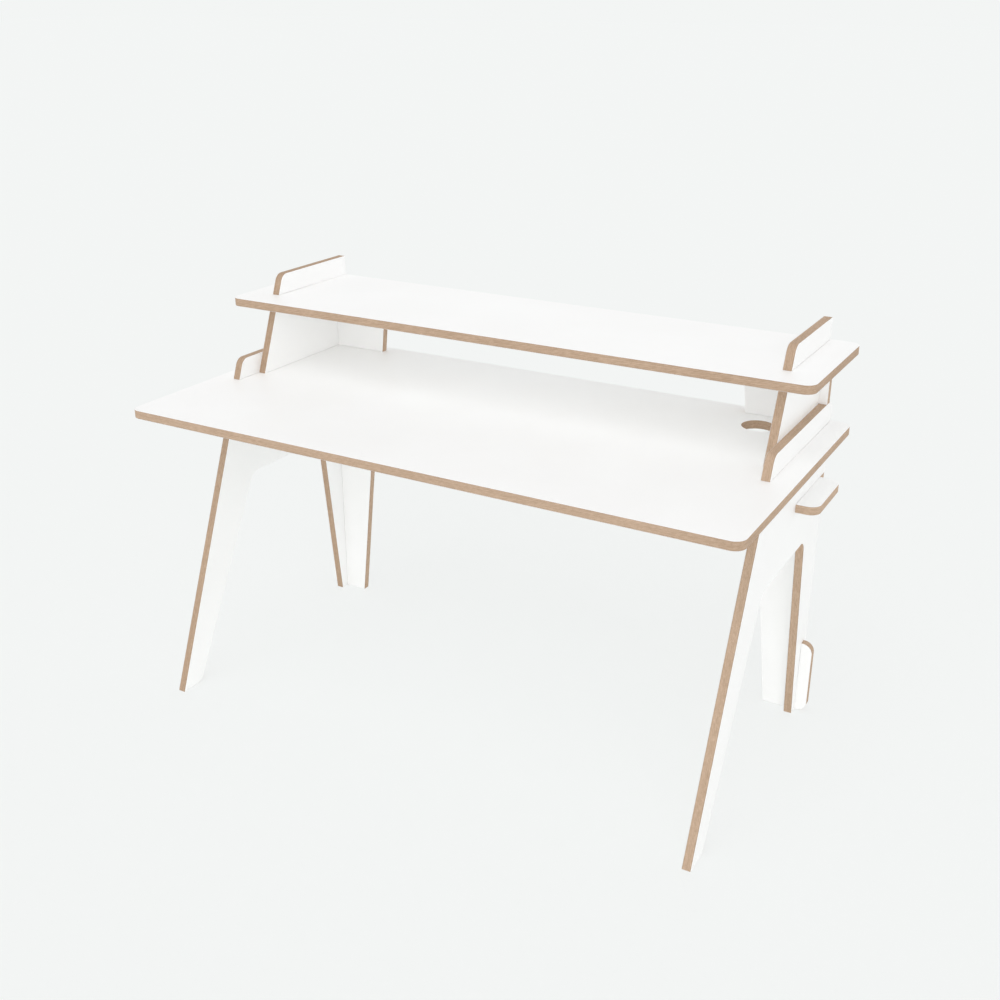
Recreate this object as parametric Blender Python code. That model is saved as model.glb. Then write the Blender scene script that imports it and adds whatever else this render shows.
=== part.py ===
"""A desk with a riser: flat laminated boards that slot into each other, with no fixings.

Metres. X runs along the desk, Y from its front edge to its back, and Z up. The origin is on the floor,
under the middle of the desktop. Each board is a plywood core between two white skins.
"""

import math

import bmesh
import bpy
from mathutils import Vector

# The sheet that every board is cut from.
BOARD = 0.020
SKIN = 0.0008
GLUE_LINE = 0.0003
SKIN_CHAMFER = 0.0004
CORNER_RADIUS = 0.025

# Clearance on each side of a slot, and under a board that rests on another.
FIT = 0.0003

# The desktop.
WIDTH = 1.500
DEPTH = 0.740
DESK_TOP = 0.752
CABLE_HOLE_RADIUS = 0.038
CABLE_HOLE_FROM_END = 0.181
CABLE_HOLE_FROM_BACK = 0.120

# The side frames. A lean is the run along Y for each metre of height.
END_OVERHANG = 0.050
EAR_RISE = 0.050
FRONT_LEAN = 0.405
FRONT_FOOT = 0.0633
FRONT_LEG_BACK_LEAN = 0.530
REAR_FOOT = 0.0635
REAR_LEG_LEAN = 0.107
WEB_BELOW_DESK = 0.2366
ARCH_FRONT_RADIUS = 0.040
ARCH_REAR_RADIUS = 0.030

# The cable shelf, between the rear legs.
CABLE_SHELF_BELOW_TOP = 0.126
CABLE_SHELF_DEPTH = 0.220
CABLE_SHELF_FROM_BACK = 0.005
CABLE_SHELF_TAB_DEPTH = 0.185

# The rear leg panels. A taper is the run along X for each metre of height.
REAR_PANEL_FROM_BACK = 0.020
REAR_PANEL_FOOT = 0.0618
REAR_PANEL_TAPER = 0.1115
REAR_PANEL_TAB_REACH = 0.028
REAR_PANEL_TAB_HEIGHT = 0.187
TENON_WIDTH = 0.070

# The riser.
RISER_FROM_FRONT = 0.376
RISER_SIDE_SETBACK = 0.003
RISER_CLEAR_HEIGHT = 0.168
RISER_EAR_RISE = 0.050
BRACE_FROM_BACK = 0.0275
BRACE_FOOT = 0.187
BRACE_TAPER = 0.104

# How finely the round stretches are drawn, and how much of an edge a corner's arc may take.
ARC_STEP = math.radians(7.5)
HOLE_SEGMENTS = 48
LARGEST_FILLET_SHARE = 0.95

# Colours are linear, from the white faces and the brown edges.
SKIN_COLOUR = (0.86, 0.86, 0.85)
SKIN_ROUGHNESS = 0.45
CORE_COLOUR = (0.50, 0.37, 0.27)
CORE_ROUGHNESS = 0.70

# Faces and middles that several boards share.
END = WIDTH / 2
FRONT = -DEPTH / 2
BACK = DEPTH / 2
DESK_UNDERSIDE = DESK_TOP - BOARD
EAR_TOP = DESK_TOP + EAR_RISE
HALF_SLOT = BOARD / 2 + FIT

FRAME_OUTER = END - END_OVERHANG
FRAME_MIDDLE = FRAME_OUTER - BOARD / 2
FRAME_INNER = FRAME_OUTER - BOARD

CABLE_SHELF_TOP = DESK_TOP - CABLE_SHELF_BELOW_TOP
CABLE_SHELF_UNDERSIDE = CABLE_SHELF_TOP - BOARD
CABLE_SHELF_BACK = BACK - CABLE_SHELF_FROM_BACK
CABLE_SHELF_FRONT = CABLE_SHELF_BACK - CABLE_SHELF_DEPTH

REAR_PANEL_MIDDLE = BACK - REAR_PANEL_FROM_BACK - BOARD / 2
REAR_PANEL_TOP = CABLE_SHELF_UNDERSIDE - FIT
REAR_PANEL_OUTER = FRAME_INNER - FIT
REAR_PANEL_TOP_INNER = FRAME_INNER - REAR_PANEL_FOOT - REAR_PANEL_TAPER * REAR_PANEL_TOP
TENON_MIDDLE = (REAR_PANEL_TOP_INNER + REAR_PANEL_OUTER) / 2

RISER_FOOT = DESK_TOP + FIT
RISER_FRONT = FRONT + RISER_FROM_FRONT
RISER_SIDE_MIDDLE = FRAME_INNER - FIT - BOARD / 2
RISER_SHELF_UNDERSIDE = DESK_TOP + RISER_CLEAR_HEIGHT
RISER_SHELF_TOP = RISER_SHELF_UNDERSIDE + BOARD
RISER_TOP = RISER_SHELF_TOP + RISER_EAR_RISE
BRACE_MIDDLE = BACK - BRACE_FROM_BACK - BOARD / 2
BRACE_TOP = RISER_SHELF_UNDERSIDE - FIT

# How a board's own x, y and z lie: along X, Y, Z; along Y, Z, X; along X, Z, -Y; and along -X, Z, Y.
LYING = (0, 0, 0)
LENGTHWISE = (math.pi / 2, 0, math.pi / 2)
CROSSWISE = (math.pi / 2, 0, 0)
CROSSWISE_TURNED = (math.pi / 2, 0, math.pi)


def clear_scene():
    for obj in list(bpy.data.objects):
        bpy.data.objects.remove(obj)


def frame_front_edge(height):
    """Where the leaning front edge of a side frame is at this height."""
    return FRONT + FRONT_LEAN * height


def riser_front_edge(height):
    """Where the leaning front edge of a riser side is at this height."""
    return RISER_FRONT + RISER_SIDE_SETBACK + FRONT_LEAN * (height - DESK_TOP)


# Two crossing boards are each slotted half way, and meet at these places.
DESK_LAP = (frame_front_edge(DESK_TOP - BOARD / 2) + BACK) / 2
CABLE_SHELF_LAP = (CABLE_SHELF_FRONT + CABLE_SHELF_BACK) / 2
REAR_PANEL_LAP = REAR_PANEL_TAB_HEIGHT / 2
RISER_SHELF_LAP = (riser_front_edge(RISER_SHELF_TOP - BOARD / 2) + BACK) / 2
BRACE_LAP = (RISER_FOOT + BRACE_TOP) / 2


def corner_arc(corner, before, after, radius, longest_reach):
    """The points of the fillet at a corner, given the ways to the corners before and after it."""
    half_angle = before.angle(after) / 2
    reach = min(radius / math.tan(half_angle), longest_reach)
    centre_direction = (before.normalized() + after.normalized()).normalized()
    centre = corner + centre_direction * (reach / math.cos(half_angle))
    start = corner + before.normalized() * reach - centre
    end = corner + after.normalized() * reach - centre
    sweep = math.atan2(start.cross(end), start.dot(end))
    steps = max(1, math.ceil(abs(sweep) / ARC_STEP))
    first_angle = math.atan2(start.y, start.x)
    angles = [first_angle + sweep * step / steps for step in range(steps + 1)]
    return [centre + start.length * Vector((math.cos(angle), math.sin(angle))) for angle in angles]


def room_for_fillet(edge, neighbour_radius):
    """How much of this edge a fillet may take: two fillets on one edge share it."""
    return edge.length * LARGEST_FILLET_SHARE / (2 if neighbour_radius else 1)


def rounded(corners):
    """The outline through (x, y, radius) corners, with an arc wherever the radius isn't zero."""
    points = []
    for index, (x, y, radius) in enumerate(corners):
        corner = Vector((x, y))
        *last_corner, last_radius = corners[index - 1]
        *next_corner, next_radius = corners[(index + 1) % len(corners)]
        before = Vector(last_corner) - corner
        after = Vector(next_corner) - corner
        longest_reach = min(room_for_fillet(before, last_radius), room_for_fillet(after, next_radius))
        points += corner_arc(corner, before, after, radius, longest_reach) if radius else [corner]
    return points


def mirrored(right_half):
    """A whole outline, from its corners on the right of X = 0."""
    return right_half + [(-x, y, radius) for x, y, radius in reversed(right_half)]


def extruded(outline, low, high):
    """A closed prism between two levels."""
    solid = bmesh.new()
    base = solid.faces.new([solid.verts.new((point.x, point.y, low)) for point in outline])
    raised = bmesh.ops.extrude_face_region(solid, geom=[base])["geom"]
    top = [item for item in raised if isinstance(item, bmesh.types.BMVert)]
    bmesh.ops.translate(solid, verts=top, vec=(0, 0, high - low))
    bmesh.ops.recalc_face_normals(solid, faces=solid.faces)
    return solid


def chamfer_rim(solid, level):
    """Takes the sharp edge off the face at this level."""
    rim = [edge for edge in solid.edges if all(abs(end.co.z - level) < SKIN / 4 for end in edge.verts)]
    bmesh.ops.bevel(solid, geom=rim, offset=SKIN_CHAMFER, segments=1, affect="EDGES")


def principled(name, colour, roughness):
    material = bpy.data.materials.new(name)
    material.use_nodes = True
    material.diffuse_color = (*colour, 1)
    shader = material.node_tree.nodes["Principled BSDF"]
    shader.inputs["Base Color"].default_value = (*colour, 1)
    shader.inputs["Roughness"].default_value = roughness
    shader.inputs["Metallic"].default_value = 0
    return material


def placed(name, solid, colour, roughness, middle, turn, carrier):
    """The solid as an object, at a place given from the carrier's origin."""
    mesh = bpy.data.meshes.new(name)
    solid.to_mesh(mesh)
    solid.free()
    mesh.materials.append(principled(name, colour, roughness))
    obj = bpy.data.objects.new(name, mesh)
    obj.parent = carrier
    obj.location = Vector(middle) - carrier.location
    obj.rotation_euler = turn
    bpy.context.collection.objects.link(obj)
    return obj


def core(name, outline, middle, turn, carrier):
    half = BOARD / 2 - SKIN - GLUE_LINE
    solid = extruded(outline, -half, half)
    return placed(name, solid, CORE_COLOUR, CORE_ROUGHNESS, middle, turn, carrier)


def skin(name, outline, side, middle, turn, carrier):
    """The white skin on the board's low side (-1) or high side (1)."""
    glued = side * (BOARD / 2 - SKIN)
    shown = side * BOARD / 2
    solid = extruded(outline, min(glued, shown), max(glued, shown))
    chamfer_rim(solid, shown)
    return placed(name, solid, SKIN_COLOUR, SKIN_ROUGHNESS, middle, turn, carrier)


def board(name, corners, middle, turn, low_face, high_face, carrier):
    """A core and its two skins, each named after the face that it covers."""
    outline = rounded(corners)
    return [
        core(f"{name}_core", outline, middle, turn, carrier),
        skin(f"{name}_{low_face}_laminate", outline, -1, middle, turn, carrier),
        skin(f"{name}_{high_face}_laminate", outline, 1, middle, turn, carrier),
    ]


def cutter(name, solid, middle):
    mesh = bpy.data.meshes.new(name)
    solid.to_mesh(mesh)
    solid.free()
    obj = bpy.data.objects.new(name, mesh)
    obj.location = middle
    obj.hide_render = True
    obj.display_type = "WIRE"
    bpy.context.collection.objects.link(obj)
    return obj


def cut_through(layers, tool):
    for layer in layers:
        boolean = layer.modifiers.new(tool.name, "BOOLEAN")
        boolean.operation = "DIFFERENCE"
        boolean.solver = "EXACT"
        boolean.object = tool


def slotted_top(front, slot_middle, lap):
    """A full-width board with a slot from its back edge, at each end, for an upright that crosses it."""
    return mirrored([
        (END, front, CORNER_RADIUS),
        (END, BACK, CORNER_RADIUS),
        (slot_middle + HALF_SLOT, BACK, 0),
        (slot_middle + HALF_SLOT, lap - FIT, 0),
        (slot_middle - HALF_SLOT, lap - FIT, 0),
        (slot_middle - HALF_SLOT, BACK, 0),
    ])


def desktop(carrier):
    corners = slotted_top(FRONT, FRAME_MIDDLE, DESK_LAP)
    middle = (0, 0, DESK_TOP - BOARD / 2)
    layers = board("desktop", corners, middle, LYING, "underside", "top", carrier)
    tool = bmesh.new()
    bmesh.ops.create_cone(
        tool,
        cap_ends=True,
        segments=HOLE_SEGMENTS,
        radius1=CABLE_HOLE_RADIUS,
        radius2=CABLE_HOLE_RADIUS,
        depth=2 * BOARD,
    )
    hole_middle = (END - CABLE_HOLE_FROM_END, BACK - CABLE_HOLE_FROM_BACK, DESK_TOP - BOARD / 2)
    cut_through(layers, cutter("cable_hole_cutter", tool, hole_middle))


def side_frame_corners():
    """A side frame seen from its right: leaning front leg, arch, rear leg and the ear above the desktop."""
    arch = DESK_UNDERSIDE - WEB_BELOW_DESK
    front_heel = FRONT + FRONT_FOOT
    rear_toe = BACK - REAR_FOOT
    feet_and_arch = [
        (frame_front_edge(0), 0, 0),
        (front_heel, 0, CORNER_RADIUS),
        (front_heel + FRONT_LEG_BACK_LEAN * arch, arch, ARCH_FRONT_RADIUS),
        (rear_toe - REAR_LEG_LEAN * arch, arch, ARCH_REAR_RADIUS),
        (rear_toe, 0, 0),
    ]
    slot_over_rear_panel = [
        (REAR_PANEL_MIDDLE - HALF_SLOT, 0, 0),
        (REAR_PANEL_MIDDLE - HALF_SLOT, REAR_PANEL_LAP, 0),
        (REAR_PANEL_MIDDLE + HALF_SLOT, REAR_PANEL_LAP, 0),
        (REAR_PANEL_MIDDLE + HALF_SLOT, 0, 0),
        (BACK, 0, 0),
    ]
    slot_for_cable_shelf = [
        (BACK, CABLE_SHELF_UNDERSIDE - FIT, 0),
        (CABLE_SHELF_LAP, CABLE_SHELF_UNDERSIDE - FIT, 0),
        (CABLE_SHELF_LAP, CABLE_SHELF_TOP + FIT, 0),
        (BACK, CABLE_SHELF_TOP + FIT, 0),
    ]
    ear = [
        (BACK, EAR_TOP, CORNER_RADIUS),
        (frame_front_edge(EAR_TOP), EAR_TOP, CORNER_RADIUS),
    ]
    slot_for_desktop = [
        (frame_front_edge(DESK_TOP + FIT), DESK_TOP + FIT, 0),
        (DESK_LAP, DESK_TOP + FIT, 0),
        (DESK_LAP, DESK_UNDERSIDE - FIT, 0),
        (frame_front_edge(DESK_UNDERSIDE - FIT), DESK_UNDERSIDE - FIT, 0),
    ]
    return feet_and_arch + slot_over_rear_panel + slot_for_cable_shelf + ear + slot_for_desktop


def side_frames(carrier):
    for name, side, low_face, high_face in (("left", -1, "outer", "inner"), ("right", 1, "inner", "outer")):
        middle = (side * FRAME_MIDDLE, 0, 0)
        board(f"{name}_side_frame", side_frame_corners(), middle, LENGTHWISE, low_face, high_face, carrier)


def cable_shelf(carrier):
    tab_back = CABLE_SHELF_FRONT + CABLE_SHELF_TAB_DEPTH
    corners = mirrored([
        (FRAME_MIDDLE - HALF_SLOT, CABLE_SHELF_FRONT, 0),
        (FRAME_MIDDLE - HALF_SLOT, CABLE_SHELF_LAP + FIT, 0),
        (FRAME_MIDDLE + HALF_SLOT, CABLE_SHELF_LAP + FIT, 0),
        (FRAME_MIDDLE + HALF_SLOT, CABLE_SHELF_FRONT, 0),
        (END, CABLE_SHELF_FRONT, CORNER_RADIUS),
        (END, tab_back, CORNER_RADIUS),
        (FRAME_OUTER, tab_back, 0),
        (FRAME_OUTER, CABLE_SHELF_BACK, 0),
    ])
    shelf_middle = CABLE_SHELF_TOP - BOARD / 2
    layers = board("cable_shelf", corners, (0, 0, shelf_middle), LYING, "underside", "top", carrier)
    for name, side in (("left", -1), ("right", 1)):
        tool = bmesh.new()
        bmesh.ops.create_cube(tool, size=1)
        bmesh.ops.scale(tool, verts=tool.verts, vec=(TENON_WIDTH + 2 * FIT, 2 * HALF_SLOT, 2 * BOARD))
        mortise_middle = (side * TENON_MIDDLE, REAR_PANEL_MIDDLE, shelf_middle)
        cut_through(layers, cutter(f"{name}_mortise_cutter", tool, mortise_middle))


def rear_panel_corners():
    """The right rear leg panel: tapered, with a tenon on top and a foot that crosses the side frame."""
    tab_end = FRAME_OUTER + REAR_PANEL_TAB_REACH
    return [
        (FRAME_INNER - REAR_PANEL_FOOT, 0, 0),
        (tab_end, 0, CORNER_RADIUS),
        (tab_end, REAR_PANEL_TAB_HEIGHT, CORNER_RADIUS),
        (FRAME_OUTER + FIT, REAR_PANEL_TAB_HEIGHT, 0),
        (FRAME_OUTER + FIT, REAR_PANEL_LAP - FIT, 0),
        (REAR_PANEL_OUTER, REAR_PANEL_LAP - FIT, 0),
        (REAR_PANEL_OUTER, REAR_PANEL_TOP, 0),
        (TENON_MIDDLE + TENON_WIDTH / 2, REAR_PANEL_TOP, 0),
        (TENON_MIDDLE + TENON_WIDTH / 2, CABLE_SHELF_TOP, 0),
        (TENON_MIDDLE - TENON_WIDTH / 2, CABLE_SHELF_TOP, 0),
        (TENON_MIDDLE - TENON_WIDTH / 2, REAR_PANEL_TOP, 0),
        (REAR_PANEL_TOP_INNER, REAR_PANEL_TOP, 0),
    ]


def riser_brace_corners():
    """The right riser brace: tapered, slotted for the riser side, with its outer end over the ear."""
    inner_foot = FRAME_OUTER - BRACE_FOOT
    return [
        (inner_foot, RISER_FOOT, 0),
        (FRAME_INNER - FIT, RISER_FOOT, 0),
        (FRAME_INNER - FIT, EAR_TOP + FIT, 0),
        (FRAME_OUTER, EAR_TOP + FIT, 0),
        (FRAME_OUTER, BRACE_TOP, 0),
        (RISER_SIDE_MIDDLE + HALF_SLOT, BRACE_TOP, 0),
        (RISER_SIDE_MIDDLE + HALF_SLOT, BRACE_LAP - FIT, 0),
        (RISER_SIDE_MIDDLE - HALF_SLOT, BRACE_LAP - FIT, 0),
        (RISER_SIDE_MIDDLE - HALF_SLOT, BRACE_TOP, 0),
        (inner_foot - BRACE_TAPER * (BRACE_TOP - RISER_FOOT), BRACE_TOP, 0),
    ]


def crosswise_pair(name, corners, depth_place, carrier):
    """A board across the desk at the right end, and the same board turned round at the left end."""
    middle = (0, depth_place, 0)
    board(f"right_{name}", corners, middle, CROSSWISE, "back", "front", carrier)
    board(f"left_{name}", corners, middle, CROSSWISE_TURNED, "front", "back", carrier)


def riser_side_corners():
    """A riser side seen from its right: leaning front edge, slot for the shelf and slot over the brace."""
    return [
        (riser_front_edge(RISER_FOOT), RISER_FOOT, 0),
        (BRACE_MIDDLE - HALF_SLOT, RISER_FOOT, 0),
        (BRACE_MIDDLE - HALF_SLOT, BRACE_LAP, 0),
        (BRACE_MIDDLE + HALF_SLOT, BRACE_LAP, 0),
        (BRACE_MIDDLE + HALF_SLOT, RISER_FOOT, 0),
        (BACK, RISER_FOOT, 0),
        (BACK, RISER_TOP, 0),
        (riser_front_edge(RISER_TOP), RISER_TOP, CORNER_RADIUS),
        (riser_front_edge(RISER_SHELF_TOP + FIT), RISER_SHELF_TOP + FIT, 0),
        (RISER_SHELF_LAP, RISER_SHELF_TOP + FIT, 0),
        (RISER_SHELF_LAP, RISER_SHELF_UNDERSIDE - FIT, 0),
        (riser_front_edge(RISER_SHELF_UNDERSIDE - FIT), RISER_SHELF_UNDERSIDE - FIT, 0),
    ]


def riser_sides(carrier):
    for name, side, low_face, high_face in (("left", -1, "outer", "inner"), ("right", 1, "inner", "outer")):
        middle = (side * RISER_SIDE_MIDDLE, 0, 0)
        board(f"{name}_riser_side", riser_side_corners(), middle, LENGTHWISE, low_face, high_face, carrier)


def riser_shelf(carrier):
    corners = slotted_top(RISER_FRONT, RISER_SIDE_MIDDLE, RISER_SHELF_LAP)
    middle = (0, 0, RISER_SHELF_TOP - BOARD / 2)
    board("riser_shelf", corners, middle, LYING, "underside", "top", carrier)


def empty(name, place):
    obj = bpy.data.objects.new(name, None)
    obj.location = place
    bpy.context.collection.objects.link(obj)
    return obj


def main():
    clear_scene()
    desk = empty("desk", (0, 0, 0))
    desktop(desk)
    side_frames(desk)
    crosswise_pair("rear_leg", rear_panel_corners(), REAR_PANEL_MIDDLE, desk)
    cable_shelf(desk)
    # The riser lifts straight up off the desktop, from between the ears.
    riser = empty("riser", (0, 0, DESK_TOP))
    riser_sides(riser)
    crosswise_pair("riser_brace", riser_brace_corners(), BRACE_MIDDLE, riser)
    riser_shelf(riser)


main()
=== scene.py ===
"""The looks of the desk with riser: white satin faces, brown plywood edges, and a plain pale studio."""

import math

import bmesh
import bpy
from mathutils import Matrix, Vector

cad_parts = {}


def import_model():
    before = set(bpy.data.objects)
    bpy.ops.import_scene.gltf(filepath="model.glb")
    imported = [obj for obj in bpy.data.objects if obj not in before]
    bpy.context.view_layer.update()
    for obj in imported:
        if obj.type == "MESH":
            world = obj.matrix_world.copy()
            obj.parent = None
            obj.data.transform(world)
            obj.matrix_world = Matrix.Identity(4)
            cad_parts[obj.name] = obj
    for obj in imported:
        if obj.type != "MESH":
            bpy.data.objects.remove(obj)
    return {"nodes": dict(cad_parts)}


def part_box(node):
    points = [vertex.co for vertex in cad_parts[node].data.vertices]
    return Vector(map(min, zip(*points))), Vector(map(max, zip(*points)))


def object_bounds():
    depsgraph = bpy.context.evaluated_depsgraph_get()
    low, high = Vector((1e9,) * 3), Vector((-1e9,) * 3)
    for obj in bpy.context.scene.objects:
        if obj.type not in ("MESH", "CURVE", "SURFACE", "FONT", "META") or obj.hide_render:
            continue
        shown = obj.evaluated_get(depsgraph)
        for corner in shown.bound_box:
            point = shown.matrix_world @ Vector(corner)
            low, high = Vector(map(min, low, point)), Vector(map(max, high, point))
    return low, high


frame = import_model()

cad_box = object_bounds()

# The camera, in metres, degrees and millimetres of a 36 mm sensor.
CAMERA_PLACE = (1.3419, -2.2760, 1.6635)
CAMERA_TILT = 67.000
CAMERA_TURN = 29.774
CAMERA_LENS = 43.456
CAMERA_SENSOR = 36.0

# The studio. Colours are linear. The key lamp stands high in front, and the low one in front at the right.
BACKGROUND_COLOUR = (0.896, 0.913, 0.905)
SKY_LOW_STRENGTH = 1.23
SKY_HIGH_STRENGTH = 0.75
SKY_FADE_FROM = 0.20
SKY_FADE_TO = 0.60
KEY_FROM = (0.0, -0.50, 0.87)
KEY_STRENGTH = 0.47
LOW_FROM = (0.45, -0.79, 0.42)
LOW_STRENGTH = 0.39
LAMP_SPREAD = 40.0
LIGHT_BOUNCES = 32
FLOOR_COLOUR = (0.892, 0.909, 0.901)
FLOOR_HALF_SIZE = 60.0
FLOOR_DROP = 0.0005
FLOOR_EVENNESS = 0.80

# The white laminate: broad faint clouds, small scuffs and the fine peel of its surface.
WHITE = (0.955, 0.955, 0.951)
WHITE_SHADED = (0.940, 0.938, 0.932)
WHITE_ROUGHNESS = (0.38, 0.48)
WHITE_SHINE = 0.35
CLOUD_SIZE = 0.180
CLOUD_DETAIL = 3.0
SCUFF_SIZE = 0.012
SCUFF_DETAIL = 4.0
PEEL_SIZE = 0.0011
PEEL_DETAIL = 1.0
PEEL_DEPTH = 0.00002

# The plywood. A ply is one layer of veneer; streaks and fibres run along its grain.
PLIES = 13
PLY_LIGHT = (0.657, 0.492, 0.367)
PLY_DARK = (0.365, 0.250, 0.167)
PLY_ROUGHNESS = (0.55, 0.78)
PLY_SHINE = 0.10
STREAK_LENGTH = 0.055
STREAK_WIDTH = 0.0022
FIBRE_LENGTH = 0.016
FIBRE_WIDTH = 0.0006
TONE_SIZE = 0.140
WOOD_DETAIL = 2.0
GLUE_SHARE_OF_PLY = 0.10
GLUE_SINKS = 0.5
FIBRE_DEPTH = 0.00008
SEED_STEP = 7.31

# Short dark and light dashes that cross the plies at a slant, as sanding and oil bring them out.
DASH_LENGTH = 0.012
DASH_WIDTH = 0.0016
DASH_SLOPE = 0.15

# The wood's lightness, from 0 for its dark colour to 1 for its light one, and what each thing adds to it.
PLY_LIGHTNESS = 0.555
DASH_WEIGHT = 0.90
STREAK_WEIGHT = 0.72
FIBRE_WEIGHT = 0.45
TONE_WEIGHT = 0.25
OWN_TONE_WEIGHT = 0.20
CUT_ACROSS_WEIGHT = -0.12
GLUE_WEIGHT = -0.22

# Painted shade, below 0, and painted light, above 0, on whole boards: the left boards are darkened because
# less light falls on them than on the right, and the cable shelf, in shade under the desk, is lightened.
BOARD_PAINTED_LIGHT_AND_SHADE = {
    "cable_shelf": 0.15,
    "left_riser_side": -0.23,
    "left_side_frame": -0.18,
    "right_riser_side": -0.08,
    "riser_shelf": -0.10,
}

# How square to its board's thickness a face has to be, as a cosine, to be a white one.
FACE_LIMIT = 0.5

# The middle of a noise's values, and two stretches that hold most of them.
NOISE_MIDDLE = 0.5
WIDE_RANGE = (0.30, 0.70)
NARROW_RANGE = (0.35, 0.65)

AXES = ("X", "Y", "Z")


def add_node(tree, kind, settings=None, inputs=None):
    """A new node. An input is a plain value, or another node's output, which is linked."""
    made = tree.nodes.new(kind)
    for name, value in (settings or {}).items():
        setattr(made, name, value)
    for key, value in (inputs or {}).items():
        if isinstance(value, bpy.types.NodeSocket):
            tree.links.new(value, made.inputs[key])
        else:
            made.inputs[key].default_value = value
    return made


def calculated(tree, operation, *operands):
    """The result of a Math node."""
    made = add_node(tree, "ShaderNodeMath", {"operation": operation}, dict(enumerate(operands)))
    return made.outputs["Value"]


def total(tree, first, *others):
    for other in others:
        first = calculated(tree, "ADD", first, other)
    return first


def swing(tree, value, weight):
    """How far a noise is from its middle, times a weight."""
    return calculated(tree, "MULTIPLY_ADD", value, weight, -NOISE_MIDDLE * weight)


def vector_of(tree, x, y, z):
    return add_node(tree, "ShaderNodeCombineXYZ", None, {"X": x, "Y": y, "Z": z}).outputs["Vector"]


def noise(tree, place, detail):
    """Noise from about 0.25 to 0.75, with features about one unit of the place across."""
    inputs = {"Vector": place, "Scale": 1.0, "Detail": detail}
    return add_node(tree, "ShaderNodeTexNoise", {"noise_dimensions": "3D"}, inputs).outputs["Fac"]


def scaled(tree, place, size):
    """The place measured in this size."""
    inputs = {0: place, "Scale": 1.0 / size}
    return add_node(tree, "ShaderNodeVectorMath", {"operation": "SCALE"}, inputs).outputs["Vector"]


def ranged(tree, value, low, high, new_low=0.0, new_high=1.0):
    """The value carried from one range to another, and kept inside it."""
    inputs = {"Value": value, "From Min": low, "From Max": high, "To Min": new_low, "To Max": new_high}
    return add_node(tree, "ShaderNodeMapRange", {"clamp": True}, inputs).outputs["Result"]


def blended(tree, share, first, second):
    """A colour between two others."""
    made = add_node(tree, "ShaderNodeMix", {"data_type": "RGBA"})
    colour_inputs = [socket for socket in made.inputs if socket.type == "RGBA"]
    factor = made.inputs[0]
    for socket, value in zip([factor, *colour_inputs], (share, first, second)):
        if isinstance(value, bpy.types.NodeSocket):
            tree.links.new(value, socket)
        else:
            socket.default_value = value if isinstance(value, float) else (*value, 1.0)
    return next(socket for socket in made.outputs if socket.type == "RGBA")


def bumped(tree, height, depth):
    inputs = {"Height": height, "Distance": depth, "Strength": 1.0}
    return add_node(tree, "ShaderNodeBump", None, inputs).outputs["Normal"]


def new_material(name):
    """An empty Principled material: its tree and its shader."""
    material = bpy.data.materials.new(name)
    material.use_nodes = True
    return material, material.node_tree, material.node_tree.nodes["Principled BSDF"]


def connect(tree, shader, **sources):
    for name, source in sources.items():
        tree.links.new(source, shader.inputs[name.replace("_", " ")])


def place_and_facing(tree):
    """The point on the object, as a vector and as three numbers, and how far its face looks each way."""
    coordinates = add_node(tree, "ShaderNodeTexCoord")
    point = add_node(tree, "ShaderNodeSeparateXYZ", None, {"Vector": coordinates.outputs["Object"]})
    normal = add_node(tree, "ShaderNodeSeparateXYZ", None, {"Vector": coordinates.outputs["Normal"]})
    facing = [calculated(tree, "ABSOLUTE", normal.outputs[axis]) for axis in AXES]
    return coordinates.outputs["Object"], [point.outputs[axis] for axis in AXES], facing


def edge_wood(tree, along, across, offset, parity):
    """Streaks and fibres of one ply, whose grain runs along the first or the second way by its parity."""

    def grain(length, width):
        long_way = vector_of(
            tree,
            calculated(tree, "DIVIDE", along, length),
            calculated(tree, "DIVIDE", across, width),
            offset,
        )
        cross_way = vector_of(
            tree,
            calculated(tree, "DIVIDE", along, width),
            calculated(tree, "DIVIDE", across, length),
            offset,
        )
        inputs = {"Factor": parity, 4: long_way, 5: cross_way}
        turned = add_node(tree, "ShaderNodeMix", {"data_type": "VECTOR"}, inputs)
        return noise(tree, turned.outputs[1], WOOD_DETAIL)

    return grain(STREAK_LENGTH, STREAK_WIDTH), grain(FIBRE_LENGTH, FIBRE_WIDTH)


def dashes(tree, along, across, depth, slope):
    """Dashes along an edge, whichever way it goes, that rise or sink slowly through its thickness."""
    slanted = calculated(tree, "MULTIPLY_ADD", total(tree, along, across), -slope, depth)
    place = vector_of(
        tree,
        calculated(tree, "DIVIDE", along, DASH_LENGTH),
        calculated(tree, "DIVIDE", across, DASH_LENGTH),
        calculated(tree, "DIVIDE", slanted, DASH_WIDTH),
    )
    return noise(tree, place, WOOD_DETAIL)


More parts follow.
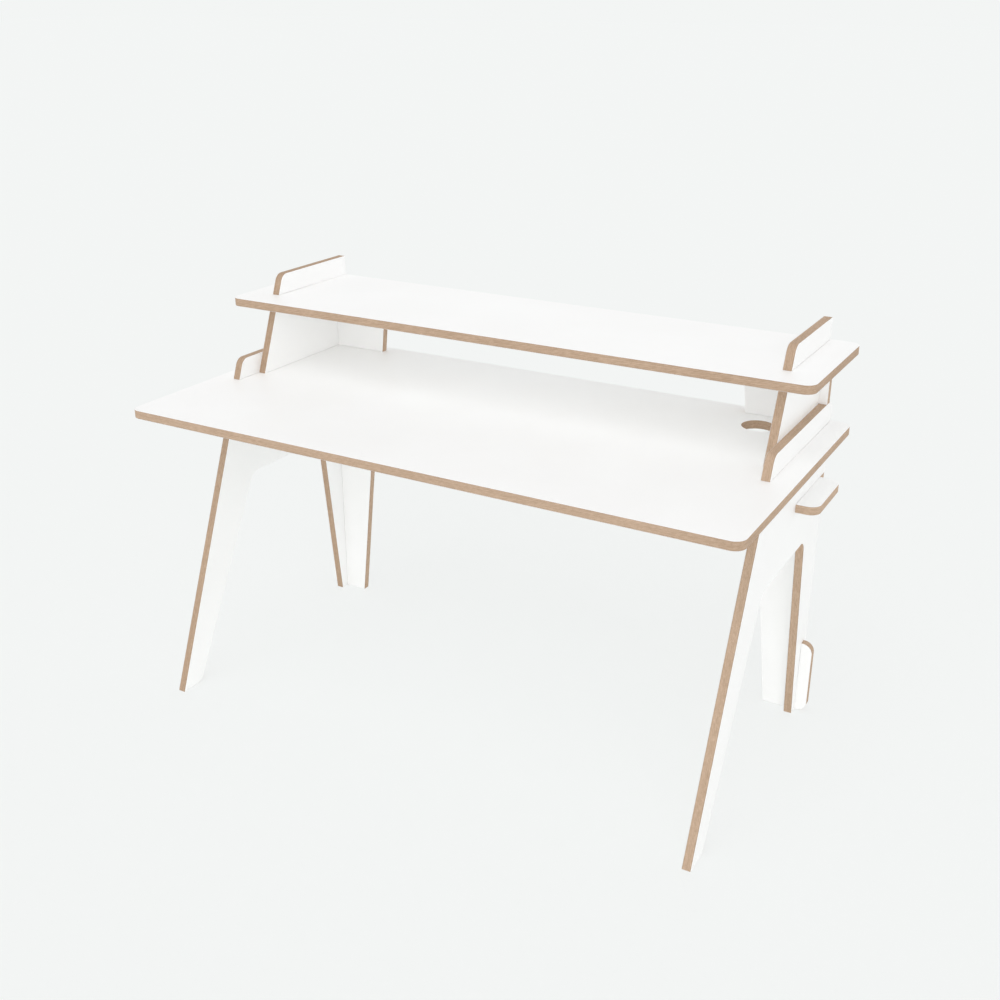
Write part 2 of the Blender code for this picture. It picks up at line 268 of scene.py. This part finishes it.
def plywood(board, thickness_axis, low, high, seed):
    """Brown plywood for one board's core, whose plies lie between two levels of its thickness."""
    material, tree, shader = new_material(f"{board}_plywood")
    place, point, facing = place_and_facing(tree)
    along, across = [axis for axis in range(3) if axis != thickness_axis]
    ply = (high - low) / PLIES

    # Which ply this is, counted from 0, and where in it, from 0 to 1.
    depth = calculated(tree, "DIVIDE", calculated(tree, "SUBTRACT", point[thickness_axis], low), ply)
    layer = calculated(tree, "FLOOR", depth)
    within = calculated(tree, "FRACT", depth)
    parity = calculated(tree, "MODULO", layer, 2.0)

    # Plies differ: each has its own tone, and shows darker where its grain is cut across.
    layer_seed = calculated(tree, "MULTIPLY_ADD", layer, SEED_STEP, seed * SEED_STEP)
    own_tone = add_node(
        tree, "ShaderNodeTexWhiteNoise", {"noise_dimensions": "1D"}, {"W": layer_seed}
    ).outputs["Value"]
    cut_across = add_node(
        tree, "ShaderNodeMix", {"data_type": "FLOAT"}, {0: parity, 2: facing[along], 3: facing[across]}
    ).outputs[0]
    cross_level = calculated(tree, "MULTIPLY_ADD", point[thickness_axis], 1.0 / STREAK_WIDTH, layer_seed)
    streaks, fibres = edge_wood(tree, point[along], point[across], cross_level, parity)
    tone = noise(tree, scaled(tree, place, TONE_SIZE), WOOD_DETAIL)
    from_middle = calculated(tree, "ABSOLUTE", calculated(tree, "SUBTRACT", within, 0.5))
    glue = ranged(tree, from_middle, 0.5 - GLUE_SHARE_OF_PLY, 0.5)
    slope = DASH_SLOPE if thickness_axis == 2 else -DASH_SLOPE
    dash = dashes(tree, point[along], point[across], point[thickness_axis], slope)

    # Each board's lightness also takes the painted shade or painted light given for that board in the table
    # of boards.
    lightness = total(
        tree,
        swing(tree, dash, DASH_WEIGHT),
        swing(tree, streaks, STREAK_WEIGHT),
        swing(tree, fibres, FIBRE_WEIGHT),
        swing(tree, tone, TONE_WEIGHT),
        swing(tree, own_tone, OWN_TONE_WEIGHT),
        calculated(tree, "MULTIPLY", cut_across, CUT_ACROSS_WEIGHT),
        calculated(tree, "MULTIPLY_ADD", glue, GLUE_WEIGHT, PLY_LIGHTNESS + BOARD_PAINTED_LIGHT_AND_SHADE.get(board, 0.0)),
    )
    colour = blended(tree, ranged(tree, lightness, 0.0, 1.0), PLY_DARK, PLY_LIGHT)
    rough = ranged(tree, fibres, *WIDE_RANGE, *PLY_ROUGHNESS)
    relief = calculated(tree, "SUBTRACT", fibres, calculated(tree, "MULTIPLY", glue, GLUE_SINKS))
    connect(tree, shader, Base_Color=colour, Roughness=rough, Normal=bumped(tree, relief, FIBRE_DEPTH))
    shader.inputs["Specular IOR Level"].default_value = PLY_SHINE
    return material


def laminate(name, thickness_axis):
    """White satin laminate with a brown edge, for skins that lie across one axis."""
    material, tree, shader = new_material(name)
    place, _, facing = place_and_facing(tree)
    clouds = noise(tree, scaled(tree, place, CLOUD_SIZE), CLOUD_DETAIL)
    scuffs = noise(tree, scaled(tree, place, SCUFF_SIZE), SCUFF_DETAIL)
    peel = noise(tree, scaled(tree, place, PEEL_SIZE), PEEL_DETAIL)
    white = blended(tree, ranged(tree, clouds, *NARROW_RANGE), WHITE_SHADED, WHITE)
    brown = blended(tree, ranged(tree, scuffs, *WIDE_RANGE), PLY_DARK, PLY_LIGHT)
    is_face = calculated(tree, "GREATER_THAN", facing[thickness_axis], FACE_LIMIT)
    colour = blended(tree, is_face, brown, white)
    mean = calculated(tree, "MULTIPLY", total(tree, clouds, scuffs), 0.5)
    rough = ranged(tree, mean, *NARROW_RANGE, *WHITE_ROUGHNESS)
    connect(tree, shader, Base_Color=colour, Roughness=rough, Normal=bumped(tree, peel, PEEL_DEPTH))
    shader.inputs["Specular IOR Level"].default_value = WHITE_SHINE
    return material


def thickness_axis_of(node):
    low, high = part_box(node)
    sides = high - low
    return min(range(3), key=lambda axis: sides[axis])


def dress(node, material):
    """Gives a CAD node this one material."""
    slots = frame["nodes"][node].data.materials
    slots.clear()
    slots.append(material)


def dress_boards():
    laminates = [
        laminate(f"white_laminate_across_{axis.lower()}", index) for index, axis in enumerate(AXES)
    ]
    for seed, node in enumerate(sorted(frame["nodes"])):
        axis = thickness_axis_of(node)
        if node.endswith("_core"):
            low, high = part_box(node)
            dress(node, plywood(node.removesuffix("_core"), axis, low[axis], high[axis], seed))
        else:
            dress(node, laminates[axis])


def backdrop_share(tree):
    """1 for the rays that show the background itself: to the camera, in a gloss or through glass."""
    path = add_node(tree, "ShaderNodeLightPath")
    rays = [path.outputs[name] for name in ("Is Camera Ray", "Is Glossy Ray", "Is Transmission Ray")]
    return calculated(tree, "MINIMUM", total(tree, *rays), 1.0)


def world():
    """Soft light from all round, strongest low down. The camera sees the pale background instead."""
    made = bpy.data.worlds.new("studio")
    made.use_nodes = True
    tree = made.node_tree
    tree.nodes.clear()
    direction = add_node(tree, "ShaderNodeTexCoord").outputs["Generated"]
    height = add_node(tree, "ShaderNodeSeparateXYZ", None, {"Vector": direction}).outputs["Z"]
    strength = ranged(tree, height, SKY_FADE_FROM, SKY_FADE_TO, SKY_LOW_STRENGTH, SKY_HIGH_STRENGTH)
    light = add_node(tree, "ShaderNodeBackground", None, {"Color": (1, 1, 1, 1), "Strength": strength})
    seen = add_node(tree, "ShaderNodeBackground", None, {"Color": (*BACKGROUND_COLOUR, 1), "Strength": 1.0})
    shaders = {0: backdrop_share(tree), 1: light.outputs[0], 2: seen.outputs[0]}
    mixed = add_node(tree, "ShaderNodeMixShader", None, shaders)
    add_node(tree, "ShaderNodeOutputWorld", None, {"Surface": mixed.outputs[0]})
    bpy.context.scene.world = made


def floor_material():
    """A matt floor that keeps a faint shadow, shows as the background's colour and is open from below."""
    material = bpy.data.materials.new("studio_floor")
    material.use_nodes = True
    tree = material.node_tree
    tree.nodes.clear()
    matt = add_node(tree, "ShaderNodeBsdfDiffuse", None, {"Color": (*FLOOR_COLOUR, 1)})
    even = add_node(tree, "ShaderNodeEmission", None, {"Color": (*BACKGROUND_COLOUR, 1), "Strength": 1.0})
    share = calculated(tree, "MULTIPLY", backdrop_share(tree), FLOOR_EVENNESS)
    above = add_node(tree, "ShaderNodeMixShader", None, {0: share, 1: matt.outputs[0], 2: even.outputs[0]})
    below = add_node(tree, "ShaderNodeBsdfTransparent")
    side = add_node(tree, "ShaderNodeNewGeometry")
    shaders = {0: side.outputs["Backfacing"], 1: above.outputs[0], 2: below.outputs[0]}
    mixed = add_node(tree, "ShaderNodeMixShader", None, shaders)
    add_node(tree, "ShaderNodeOutputMaterial", None, {"Surface": mixed.outputs[0]})
    return material


def floor():
    shape = bmesh.new()
    bmesh.ops.create_grid(shape, x_segments=1, y_segments=1, size=FLOOR_HALF_SIZE)
    mesh = bpy.data.meshes.new("studio_floor")
    shape.to_mesh(mesh)
    shape.free()
    mesh.materials.append(floor_material())
    made = bpy.data.objects.new("studio_floor", mesh)
    made.location.z = cad_box[0].z - FLOOR_DROP
    bpy.context.scene.collection.objects.link(made)


def soft_lamp(name, source, strength, shows_in_gloss):
    """A broad soft light from far away, given as the way towards it."""
    lamp = bpy.data.lights.new(name, "SUN")
    lamp.energy = strength
    lamp.angle = math.radians(LAMP_SPREAD)
    made = bpy.data.objects.new(name, lamp)
    made.rotation_euler = Vector(source).to_track_quat("Z", "Y").to_euler()
    made.visible_glossy = shows_in_gloss
    bpy.context.scene.collection.objects.link(made)


def let_light_settle():
    """Between white faces, light goes on for many bounces before it fades."""
    cycles = bpy.context.scene.cycles
    cycles.max_bounces = LIGHT_BOUNCES
    cycles.diffuse_bounces = LIGHT_BOUNCES


def camera():
    lens = bpy.data.cameras.new("camera")
    lens.lens = CAMERA_LENS
    lens.sensor_width = CAMERA_SENSOR
    made = bpy.data.objects.new("camera", lens)
    made.location = CAMERA_PLACE
    made.rotation_euler = (math.radians(CAMERA_TILT), 0, math.radians(CAMERA_TURN))
    bpy.context.scene.collection.objects.link(made)
    bpy.context.scene.camera = made


camera()
dress_boards()
world()
floor()
soft_lamp("key", KEY_FROM, KEY_STRENGTH, shows_in_gloss=True)
soft_lamp("low", LOW_FROM, LOW_STRENGTH, shows_in_gloss=False)
let_light_settle()
bpy.context.scene.view_settings.view_transform = "Standard"
